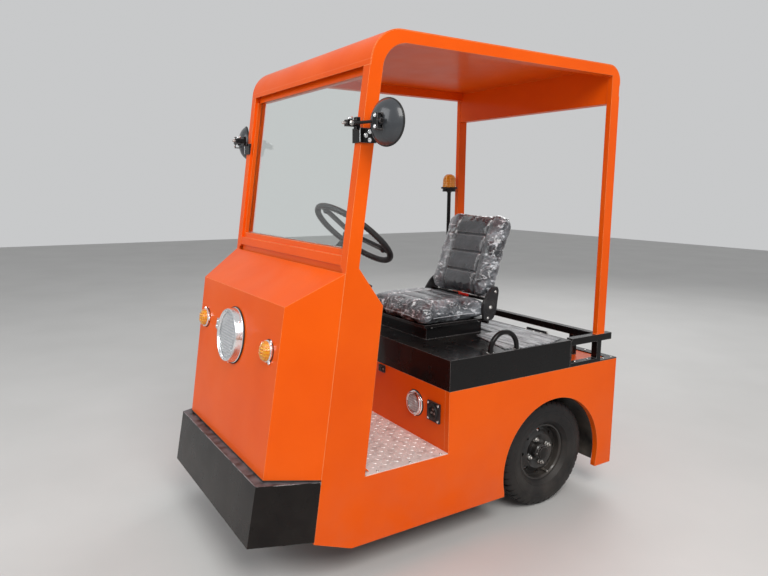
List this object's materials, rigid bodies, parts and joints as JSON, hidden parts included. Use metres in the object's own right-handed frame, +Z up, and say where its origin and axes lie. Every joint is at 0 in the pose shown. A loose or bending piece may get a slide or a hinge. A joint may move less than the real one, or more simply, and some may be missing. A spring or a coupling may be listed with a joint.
{
  "type": "airport baggage tug",
  "caption": "Three-wheeled electric tow tractor with an open two-pillar cab, seat on a hinged battery lid, steered front wheel, round mirrors and a rear towing jaw.",
  "frame": {"origin": "on the ground under the middle of the vehicle's bounding box", "axes": "+Z up, the vehicle's front towards -Y, its left side towards +X"},
  "size_m": [1.3362, 1.8, 1.862],
  "materials": {
    "body_orange": "semi gloss orange enamel, worn at the edges",
    "black_enamel": "semi gloss black enamel",
    "chassis_black": "satin black, dusty",
    "bright_metal": "polished ring",
    "clear_glass": "clear, flat",
    "lamp_clear": "moulded, fluted inside",
    "lamp_amber": "amber, moulded",
    "lamp_red": "red, moulded",
    "tread_plate": "raised tread, scuffed",
    "black_plastic": "grained",
    "black_rubber": "dull",
    "tyre_rubber": "dull, dusty",
    "rim_paint": "satin black, dusty",
    "cushion_vinyl": "grained vinyl",
    "mirror_glass": "polished",
    "ribbed_mat": "ribbed, matt",
    "battery_case": "plain"
  },
  "bodies": {
    "chassis": {"side_panel_left": "body_orange", "side_panel_right": "body_orange", "roof_skin": "body_orange", "roof_headers": "body_orange", "windscreen_frame": "body_orange", "windscreen_glass": "clear_glass", "nose_shell": "body_orange", "bumper": "black_enamel", "lamp_rings": "bright_metal", "headlamp_lens": "lamp_clear", "indicator_lenses": "lamp_amber", "floor_plate": "tread_plate", "bulkhead": "body_orange", "seat_riser": "body_orange", "riser_lamp_lens": "lamp_clear", "charge_socket": "black_plastic", "chassis_frame": "chassis_black", "battery_pack": "battery_case", "rear_deck": "body_orange", "rear_panel": "body_orange", "tail_lamps": "lamp_red", "tow_hitch": "chassis_black", "rear_rails": "black_enamel", "arch_liners": "chassis_black", "rear_axle": "chassis_black", "leaf_springs": "chassis_black", "drive_motor": "chassis_black", "steering_column": "black_enamel", "steering_gearbox": "chassis_black", "dashboard": "black_plastic", "pedals": "black_rubber", "mirror_brackets": "black_enamel", "mirror_heads": "black_plastic", "mirror_glasses": "mirror_glass", "beacon_pole": "black_enamel", "beacon_dome": "lamp_amber", "lid_latch": "black_enamel"},
    "battery_lid": {"lid_box": "black_enamel", "seat_pedestal": "black_enamel", "seat_cushion": "cushion_vinyl", "seat_back": "cushion_vinyl", "seat_recliners": "black_enamel", "deck_mat": "ribbed_mat", "grab_handles": "black_enamel"},
    "steering_wheel": {"steering_wheel": "black_plastic"},
    "front_fork": {"front_fork": "chassis_black"},
    "front_wheel": {"front_tyre": "tyre_rubber", "front_rim": "rim_paint"},
    "rear_wheel_left": {"rear_tyre_left": "tyre_rubber", "rear_rim_left": "rim_paint"},
    "rear_wheel_right": {"rear_tyre_right": "tyre_rubber", "rear_rim_right": "rim_paint"}
  },
  "joints": [
    {"name": "rear_wheel_left_spin", "type": "hinge", "parent": "chassis", "child": "rear_wheel_left", "pos_m": [0.4, 0.43, 0.232], "axis": [1, 0, 0], "continuous": true},
    {"name": "rear_wheel_right_spin", "type": "hinge", "parent": "chassis", "child": "rear_wheel_right", "pos_m": [-0.4, 0.43, 0.232], "axis": [1, 0, 0], "continuous": true},
    {"name": "front_steer", "type": "hinge", "parent": "chassis", "child": "front_fork", "pos_m": [0, -0.63, 0.4], "axis": [0, 0, 1], "range_deg": [-45, 45]},
    {"name": "front_wheel_spin", "type": "hinge", "parent": "front_fork", "child": "front_wheel", "pos_m": [0, -0.59, 0.19], "axis": [1, 0, 0], "continuous": true},
    {"name": "steering_wheel_turn", "type": "hinge", "parent": "chassis", "child": "steering_wheel", "pos_m": [0, -0.254, 1.17], "axis": [0, 0.6428, 0.766], "range_deg": [-180, 180]},
    {"name": "battery_lid_hinge", "type": "hinge", "parent": "chassis", "child": "battery_lid", "pos_m": [0, 0.519, 0.733], "axis": [-1, 0, 0], "range_deg": [0, 60]}
  ],
  "couplings": [
    {"joint": "steering_wheel_turn", "follows": "front_steer", "ratio": 4}
  ]
}
